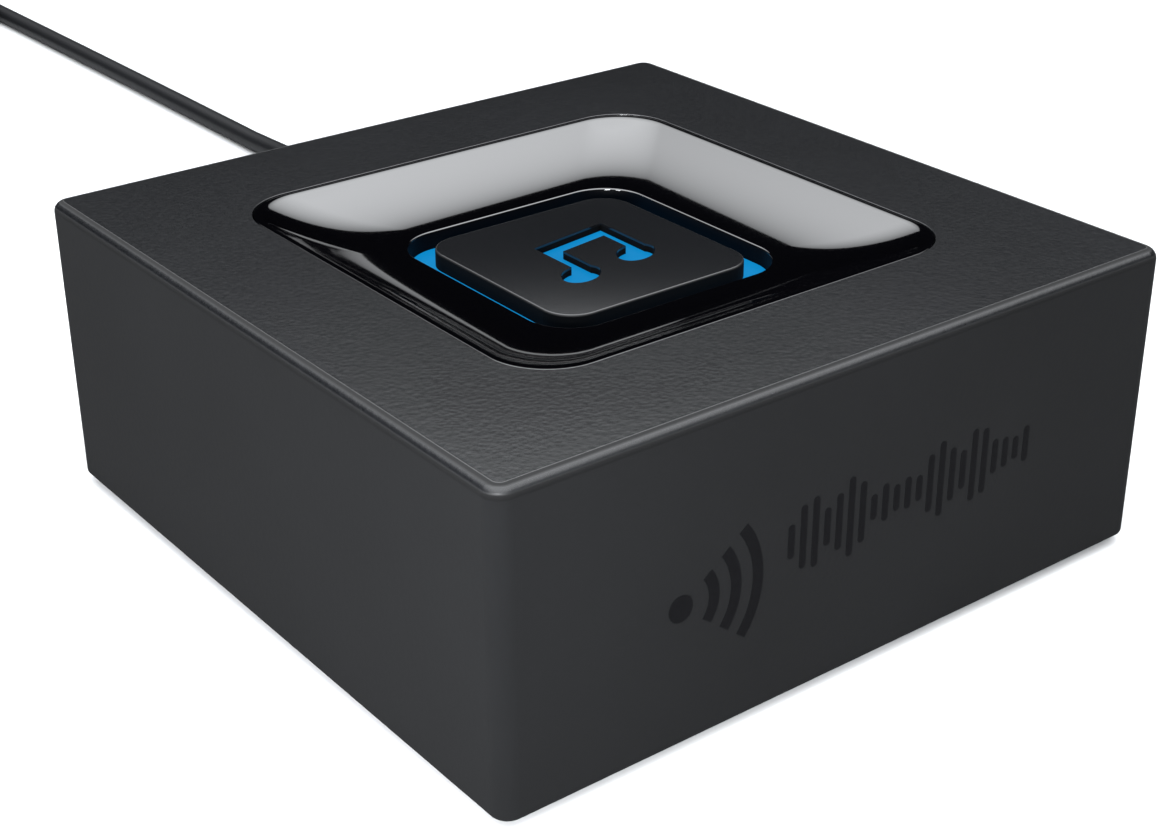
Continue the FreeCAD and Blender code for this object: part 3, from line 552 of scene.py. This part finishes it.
waves = add_node(tree, "ShaderNodeMath", {0: fast_wave.outputs[0], 1: slow_wave.outputs[0]},
                 operation="MULTIPLY")
loudness = add_node(tree, "ShaderNodeMath", {0: waves.outputs[0]}, operation="ABSOLUTE")
stretch = add_node(tree, "ShaderNodeMath", {0: loudness.outputs[0], 1: given["Swell"],
                                            2: given["Shortest"]}, operation="MULTIPLY_ADD")
measured = add_node(tree, "GeometryNodeStoreNamedAttribute", {
    "Geometry": row.outputs["Mesh"], "Name": "stretch", "Value": stretch.outputs[0]},
    data_type="FLOAT", domain="POINT")
half_width = add_node(tree, "ShaderNodeMath", {0: given["Width"], 1: 0.5}, operation="MULTIPLY")
disc = add_node(tree, "GeometryNodeMeshCylinder", {"Vertices": BAR_SIDES,
                                                   "Radius": half_width.outputs[0],
                                                   "Depth": given["Thickness"]})
upright = add_node(tree, "GeometryNodeTransform", {
    "Geometry": disc.outputs["Mesh"], "Rotation": (math.pi / 2, math.pi / BAR_SIDES, 0.0)})
bars = add_node(tree, "GeometryNodeInstanceOnPoints", {"Points": measured.outputs["Geometry"],
                                                       "Instance": upright.outputs["Geometry"]})
solid_bars = add_node(tree, "GeometryNodeRealizeInstances",
                      {"Geometry": bars.outputs["Instances"]})
where = add_node(tree, "GeometryNodeInputPosition")
height = add_node(tree, "ShaderNodeSeparateXYZ", {"Vector": where.outputs[0]})
from_level = add_node(tree, "ShaderNodeMath", {0: height.outputs["Z"], 1: given["Level"]},
                      operation="SUBTRACT")
half = add_node(tree, "ShaderNodeMath", {0: from_level.outputs[0]}, operation="SIGN")
kept = add_node(tree, "GeometryNodeInputNamedAttribute", {"Name": "stretch"}, data_type="FLOAT")
pull = add_node(tree, "ShaderNodeMath", {0: half.outputs[0], 1: kept.outputs["Attribute"]},
                operation="MULTIPLY")
offset = add_node(tree, "ShaderNodeCombineXYZ", {"Z": pull.outputs[0]})
pulled = add_node(tree, "GeometryNodeSetPosition", {"Geometry": solid_bars.outputs["Geometry"],
                                                    "Offset": offset.outputs[0]})
plain = add_node(tree, "GeometryNodeRemoveAttribute", {"Geometry": pulled.outputs["Geometry"],
                                                       "Name": "stretch"})
inked = add_node(tree, "GeometryNodeSetMaterial", {"Geometry": plain.outputs["Geometry"],
                                                   "Material": ink})
add_node(tree, "NodeGroupOutput", {"Geometry": inked.outputs["Geometry"]})
shape_from_tree("level_bars", tree, bars_inputs, "case")

# ---------------------------------------------------------------- dish
# Piano-black ABS dish from a polished mould, dropped into the top and held by four stakes
# through its hidden flange. It is level round the button and curves up to a narrow flat rim.
# The polish is mirror-like; the well below the lip keeps the plain surface of its mould.
DISH_RIM = 16.2
DISH_FLOOR = 9.35
DISH_RIM_HEIGHT = 20.74
LIP_HEIGHT = 18.75
LIP_ROUND = 0.1
RIM_OUTER = 16.6
RIM_CORNER = 4.04
RIM_ROUND = 0.03
FLANGE, FLANGE_CORNER = 18.6, 5.0
FLANGE_LOW, FLANGE_HIGH = 17.7, 19.0
LIP_CORNER = 3.3
LIP_STRAIGHT = 6.05
CORNER_GROWTH = 0.7
WELL_CORNER = 3.2
WELL_TOP, WELL_LOW = 18.5, 16.75
SKIRT, SKIRT_CORNER = 10.5, 4.2
RIM_STEPS, SLOPE_STEPS, LIP_STEPS, CORNER_STEPS = 5, 32, 6, 20
POLISHED, UNPOLISHED = 0, 1


def dish_profile():
    """Rings from the flange over the rim and down the well: half side, corner, height, face."""
    rise = DISH_RIM_HEIGHT - LIP_HEIGHT
    run = DISH_RIM - DISH_FLOOR
    bend = (run ** 2 + rise ** 2) / (2 * rise)
    steepest = math.asin(run / bend)
    rings = [(FLANGE, FLANGE_CORNER, FLANGE_LOW, UNPOLISHED),
             (FLANGE, FLANGE_CORNER, FLANGE_HIGH, UNPOLISHED),
             (RIM_OUTER, RIM_CORNER, FLANGE_HIGH, UNPOLISHED)]
    for step in range(RIM_STEPS + 1):
        angle = math.radians(90) * step / RIM_STEPS
        inset = RIM_ROUND * (1 - math.cos(angle))
        height = DISH_RIM_HEIGHT - RIM_ROUND * (1 - math.sin(angle))
        rings.append((RIM_OUTER - inset, RIM_CORNER - inset, height, POLISHED))
    for step in range(SLOPE_STEPS + 1):
        angle = steepest * (1 - step / SLOPE_STEPS)
        out = bend * math.sin(angle)
        rings.append((DISH_FLOOR + out, LIP_CORNER + CORNER_GROWTH * out / run,
                      LIP_HEIGHT + bend * (1 - math.cos(angle)), POLISHED))
    for step in range(1, LIP_STEPS + 1):
        angle = math.radians(90) * (1 - step / LIP_STEPS)
        half = DISH_FLOOR - LIP_ROUND * math.cos(angle)
        height = LIP_HEIGHT - LIP_ROUND * (1 - math.sin(angle))
        rings.append((half, half - LIP_STRAIGHT, height, POLISHED))
    well = DISH_FLOOR - LIP_ROUND
    rings += [(well, WELL_CORNER, WELL_TOP, UNPOLISHED),
              (well, WELL_CORNER, WELL_LOW, UNPOLISHED),
              (SKIRT, SKIRT_CORNER, WELL_LOW, UNPOLISHED),
              (SKIRT, SKIRT_CORNER, FLANGE_LOW, UNPOLISHED)]
    return rings


def ring_points(half, radius, height):
    """Points round a square with rounded corners."""
    points = []
    for corner in range(4):
        middle = math.radians(45 + 90 * corner)
        centre_x = math.copysign(half - radius, math.cos(middle))
        centre_y = math.copysign(half - radius, math.sin(middle))
        for step in range(CORNER_STEPS + 1):
            angle = math.radians(90) * (corner + step / CORNER_STEPS)
            points.append(Vector((centre_x + radius * math.cos(angle),
                                  centre_y + radius * math.sin(angle), height)) * MM)
    return points


shaped = bmesh.new()
profile = dish_profile()
rings = [[shaped.verts.new(point) for point in ring_points(*ring[:3])] for ring in profile]
count = len(rings[0])
for number, ring in enumerate(rings):
    following = rings[(number + 1) % len(rings)]
    for i in range(count):
        j = (i + 1) % count
        face = shaped.faces.new((ring[i], ring[j], following[j], following[i]))
        face.material_index = profile[(number + 1) % len(rings)][3]
        face.smooth = True
bmesh.ops.recalc_face_normals(shaped, faces=shaped.faces)
dish_mesh = bpy.data.meshes.new("gloss_dish")
shaped.to_mesh(dish_mesh)
shaped.free()
dish_mesh.set_sharp_from_angle(angle=math.radians(40))

piano_black, tree, shader = new_material("piano_black_abs", IOR=1.6, Specular_IOR_Level=1.0)
place = add_node(tree, "ShaderNodeTexCoord")
wave = add_node(tree, "ShaderNodeTexNoise", {"Vector": place.outputs["Object"],
                                             "Scale": 1 / (5 * MM), "Detail": 1.0})
dust = add_node(tree, "ShaderNodeTexNoise", {"Vector": place.outputs["Object"],
                                             "Scale": 1 / (0.25 * MM), "Detail": 4.0})
tone = add_node(tree, "ShaderNodeMix", {"Factor": dust.outputs["Fac"], 6: linear("010102"),
                                        7: linear("030304")}, data_type="RGBA")
polish = add_node(tree, "ShaderNodeMapRange", {"Value": dust.outputs["Fac"], "From Min": 0.3,
                                               "From Max": 0.8, "To Min": 0.04, "To Max": 0.07})
relief = add_node(tree, "ShaderNodeBump", {"Height": wave.outputs["Fac"], "Strength": 0.03,
                                           "Distance": 0.02 * MM})
tree.links.new(tone.outputs[2], shader.inputs["Base Color"])
tree.links.new(polish.outputs["Result"], shader.inputs["Roughness"])
tree.links.new(relief.outputs["Normal"], shader.inputs["Normal"])

well_abs = moulded_plastic("moulded_well_abs", "020203", "040405", 0.4, 0.5, 0.2, 0.008, 0.06)
dish = mesh_piece("gloss_dish", dish_mesh, "case", piano_black, well_abs)
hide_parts("bezel")

# ---------------------------------------------------------------- button
# Satin black cap over a frosted polycarbonate light guide. Four lamps under its corners
# light the guide blue, brightest near the corners, in the symbol and in the gap.
CAP_TOP = 18.75
CAP_HALF = 7.72
CAP_CORNER = 2.24
CAP_ROUND = 0.14
CROWN_RADIUS = 200
LAMP_OFFSET = 5.8
cap_abs = moulded_plastic("satin_cap_abs", "0a0b0d", "0e0f11", 0.15, 0.18, 0.16, 0.002, 0.9)
# The cap's rounded edge and upright sides are rougher, and painted shade darkens their colour and
# reflection.
cap_steps = [(0, 0.0, 1.0, 1.0), (45, 0.3, 0.6, 0.3), (90, 0.7, 0.1, 0.05)]
finish_and_shade_by_lean(cap_abs, CAP_HALF, CAP_CORNER, CAP_TOP, CAP_ROUND, cap_steps)
# The cap's face is very slightly crowned, about 0.15 mm from its middle to its sides.
cap_tree = cap_abs.node_tree
cap_shader = cap_tree.nodes["Principled BSDF"]
place = add_node(cap_tree, "ShaderNodeTexCoord")
level_part = add_node(cap_tree, "ShaderNodeVectorMath", {0: place.outputs["Object"],
                                                         1: (1.0, 1.0, 0.0)}, operation="MULTIPLY")
squared = add_node(cap_tree, "ShaderNodeVectorMath", {0: level_part.outputs[0],
                                                      1: level_part.outputs[0]},
                   operation="DOT_PRODUCT")
sinking = add_node(cap_tree, "ShaderNodeMath", {
    0: squared.outputs["Value"], 1: -0.5 / (CROWN_RADIUS * MM)}, operation="MULTIPLY")
crown = add_node(cap_tree, "ShaderNodeBump", {
    "Height": sinking.outputs[0], "Strength": 1.0, "Distance": 1.0,
    "Normal": cap_shader.inputs["Normal"].links[0].from_socket})
cap_tree.links.new(crown.outputs["Normal"], cap_shader.inputs["Normal"])
wear_material(nodes["button_cap"], cap_abs)

frosted, tree, shader = new_material("frosted_polycarbonate", Base_Color=linear("04202f"),
                                     Roughness=0.35, Specular_IOR_Level=0.03,
                                     Emission_Strength=0.9)
place = add_node(tree, "ShaderNodeTexCoord")
parts = add_node(tree, "ShaderNodeSeparateXYZ", {"Vector": place.outputs["Object"]})
side_x = add_node(tree, "ShaderNodeMath", {0: parts.outputs["X"]}, operation="ABSOLUTE")
side_y = add_node(tree, "ShaderNodeMath", {0: parts.outputs["Y"]}, operation="ABSOLUTE")
folded = add_node(tree, "ShaderNodeCombineXYZ", {"X": side_x.outputs[0], "Y": side_y.outputs[0]})
lamp_place = (LAMP_OFFSET * MM, LAMP_OFFSET * MM, 0.0)
reach = add_node(tree, "ShaderNodeVectorMath", {0: folded.outputs[0], 1: lamp_place},
                 operation="DISTANCE")
fall = add_node(tree, "ShaderNodeMapRange", {"Value": reach.outputs["Value"], "From Max": 7 * MM,
                                             "To Min": 1.0, "To Max": 0.72})
frost = add_node(tree, "ShaderNodeTexNoise", {"Vector": place.outputs["Object"],
                                              "Scale": 1 / (0.2 * MM), "Detail": 3.0})
haze = add_node(tree, "ShaderNodeMapRange", {"Value": frost.outputs["Fac"], "To Min": 0.93,
                                             "To Max": 1.07})
glow = add_node(tree, "ShaderNodeMath", {0: fall.outputs["Result"], 1: haze.outputs["Result"]},
                operation="MULTIPLY")
tone = add_node(tree, "ShaderNodeMix", {"Factor": glow.outputs[0], 6: linear("07659c"),
                                        7: linear("058dd0")}, data_type="RGBA")
tree.links.new(tone.outputs[2], shader.inputs["Emission Color"])
wear_material(nodes["light_guide"], frosted)
wear_material(nodes["switch_plunger"], cap_abs)

# ---------------------------------------------------------------- foot pad
# Die-cut silicone sheet, dark and dull, with the fine cloth-like face of its backing film.
silicone, tree, shader = new_material("silicone_sheet", Roughness=0.8,
                                      Specular_IOR_Level=0.25)
place = add_node(tree, "ShaderNodeTexCoord")
weave = add_node(tree, "ShaderNodeTexVoronoi", {"Vector": place.outputs["Object"],
                                                "Scale": 1 / (0.45 * MM), "Randomness": 0.35})
tone = add_node(tree, "ShaderNodeMix", {"Factor": weave.outputs["Distance"], 6: linear("19191a"),
                                        7: linear("232324")}, data_type="RGBA")
relief = add_node(tree, "ShaderNodeBump", {"Height": weave.outputs["Distance"], "Strength": 0.6,
                                           "Distance": 0.03 * MM})
tree.links.new(tone.outputs[2], shader.inputs["Base Color"])
tree.links.new(relief.outputs["Normal"], shader.inputs["Normal"])
wear_material(nodes["foot_pad"], silicone)

# ---------------------------------------------------------------- metal pieces
# Zinc-plated steel screws, a tinned steel can, nickel-plated barrels and rings, drawn
# aluminium capacitor cans and flash-gold contacts, each with its own fine tool marks.


def plated_metal(name, dark, light, matt_low, matt_high, streak_mm, stretch):
    """Metal with fine marks: streak_mm apart, drawn out along one axis by stretch."""
    material, tree, shader = new_material(name, Metallic=1.0)
    place = add_node(tree, "ShaderNodeTexCoord")
    drawn = add_node(tree, "ShaderNodeMapping", {"Vector": place.outputs["Object"],
                                                 "Scale": stretch})
    marks = add_node(tree, "ShaderNodeTexNoise", {"Vector": drawn.outputs[0],
                                                  "Scale": 1 / (streak_mm * MM), "Detail": 5.0})
    tone = add_node(tree, "ShaderNodeMix", {"Factor": marks.outputs["Fac"], 6: linear(dark),
                                            7: linear(light)}, data_type="RGBA")
    matt = add_node(tree, "ShaderNodeMapRange", {"Value": marks.outputs["Fac"],
                                                 "To Min": matt_low, "To Max": matt_high})
    relief = add_node(tree, "ShaderNodeBump", {"Height": marks.outputs["Fac"], "Strength": 0.15,
                                               "Distance": 0.005 * MM})
    tree.links.new(tone.outputs[2], shader.inputs["Base Color"])
    tree.links.new(matt.outputs["Result"], shader.inputs["Roughness"])
    tree.links.new(relief.outputs["Normal"], shader.inputs["Normal"])
    return material


zinc = plated_metal("zinc_plated_steel", "8f9092", "b4b4b3", 0.28, 0.45, 0.3, (1, 1, 0.2))
tinned = plated_metal("tinned_steel", "858582", "a3a3a0", 0.25, 0.42, 0.5, (0.15, 1, 1))
nickel = plated_metal("nickel_plate", "7f7c76", "98948c", 0.16, 0.28, 0.25, (1, 0.12, 1))
can_metal = plated_metal("drawn_aluminium", "b5b6b9", "d0d1d4", 0.25, 0.38, 0.3, (1, 1, 0.15))
gold = plated_metal("flash_gold", "b08a3a", "d8b056", 0.15, 0.3, 0.3, (1, 0.3, 1))
metal_nodes = {
    zinc: ("cover_screws", "board_screws"),
    tinned: ("radio_shield", "clock_crystal"),
    nickel: ("rca_shell_left", "rca_shell_right", "audio_jack_ferrule", "power_jack_pin",
             "plug_barrel", "usb_shell"),
    can_metal: ("capacitors",),
    gold: ("rca_contact_left", "rca_contact_right", "audio_jack_contacts", "usb_contacts"),
}
for metal, names in metal_nodes.items():
    for name in names:
        wear_material(nodes[name], metal)

# ---------------------------------------------------------------- socket and plug plastics
# Glass-filled nylon socket bodies, coloured phono cores, the reflector's white ABS, the
# plug's yellow lining and the moulded epoxy of the chips.
# Each recipe is a finish's name, its two colours, its roughness range, the size and depth of
# its grain, and its gloss.
plastics = {
    ("black_nylon", "0f1011", "17181a", 0.35, 0.5, 0.22, 0.006, 0.45):
        ("rca_housing", "audio_jack_body", "power_jack_body", "switch_body"),
    ("white_abs", "b2b2ae", "c2c2be", 0.3, 0.42, 0.3, 0.004, 0.5):
        ("rca_insulator_left", "light_reflector", "usb_insert"),
    ("red_abs", "8f1015", "b0161c", 0.3, 0.42, 0.3, 0.004, 0.5): ("rca_insulator_right",),
    ("yellow_pbt", "c09a18", "dab428", 0.35, 0.5, 0.3, 0.004, 0.4): ("plug_insulator",),
    ("chip_epoxy", "161618", "232326", 0.6, 0.8, 0.12, 0.008, 0.3):
        ("audio_chip", "power_inductor"),
}
for recipe, names in plastics.items():
    finish = moulded_plastic(*recipe)
    for name in names:
        wear_material(nodes[name], finish)

# ---------------------------------------------------------------- circuit boards and lamps
# FR4 laminate under green solder mask; copper tracks show through it as paler lines. The
# lamps are clear resin over a blue chip and glow.
solder_mask, tree, shader = new_material("green_solder_mask")
place = add_node(tree, "ShaderNodeTexCoord")
tracks = add_node(tree, "ShaderNodeTexBrick", {
    "Vector": place.outputs["Object"], "Scale": 1.0, "Brick Width": 3.1 * MM,
    "Row Height": 1.3 * MM, "Mortar Size": 0.14 * MM, "Color1": linear("0f3d28"),
    "Color2": linear("124630"), "Mortar": linear("2a7a4c")})
fibre = add_node(tree, "ShaderNodeTexNoise", {"Vector": place.outputs["Object"],
                                              "Scale": 1 / (0.4 * MM), "Detail": 4.0})
matt = add_node(tree, "ShaderNodeMapRange", {"Value": fibre.outputs["Fac"], "To Min": 0.2,
                                             "To Max": 0.38})
relief = add_node(tree, "ShaderNodeBump", {"Height": tracks.outputs["Fac"], "Strength": 0.5,
                                           "Distance": 0.03 * MM})
tree.links.new(tracks.outputs["Color"], shader.inputs["Base Color"])
tree.links.new(matt.outputs["Result"], shader.inputs["Roughness"])
tree.links.new(relief.outputs["Normal"], shader.inputs["Normal"])
for name in ("main_board", "radio_board"):
    wear_material(nodes[name], solder_mask)

lamp_resin, tree, shader = new_material("blue_lamp_resin", Roughness=0.2,
                                        Emission_Strength=1.5)
place = add_node(tree, "ShaderNodeTexCoord")
haze = add_node(tree, "ShaderNodeTexNoise", {"Vector": place.outputs["Object"],
                                             "Scale": 1 / (0.5 * MM)})
tone = add_node(tree, "ShaderNodeMix", {"Factor": haze.outputs["Fac"], 6: linear("4fb4ec"),
                                        7: linear("a8dcf8")}, data_type="RGBA")
tree.links.new(tone.outputs[2], shader.inputs["Base Color"])
tree.links.new(tone.outputs[2], shader.inputs["Emission Color"])
wear_material(nodes["status_leds"], lamp_resin)

# ---------------------------------------------------------------- lead tie
# Woven nylon hook-and-loop strap: dull, with a plain weave and a fuzzy sheen.
THREAD = 0.35
strap_cloth, tree, shader = new_material("woven_nylon", Roughness=0.9, Sheen_Weight=0.12,
                                         Sheen_Roughness=0.5)
place = add_node(tree, "ShaderNodeTexCoord")
parts = add_node(tree, "ShaderNodeSeparateXYZ", {"Vector": place.outputs["Object"]})
around = add_node(tree, "ShaderNodeMath", {0: parts.outputs["Y"], 1: parts.outputs["Z"]},
                  operation="ADD")
flat = add_node(tree, "ShaderNodeCombineXYZ", {"X": parts.outputs["X"], "Y": around.outputs[0]})
weave = add_node(tree, "ShaderNodeTexChecker", {
    "Vector": flat.outputs[0], "Scale": 1 / (THREAD * MM), "Color1": linear("0e0e10"),
    "Color2": linear("1b1b1e")})
relief = add_node(tree, "ShaderNodeBump", {"Height": weave.outputs["Fac"], "Strength": 0.6,
                                           "Distance": 0.05 * MM})
tree.links.new(weave.outputs["Color"], shader.inputs["Base Color"])
tree.links.new(relief.outputs["Normal"], shader.inputs["Normal"])
wear_material(nodes["lead_tie"], strap_cloth)
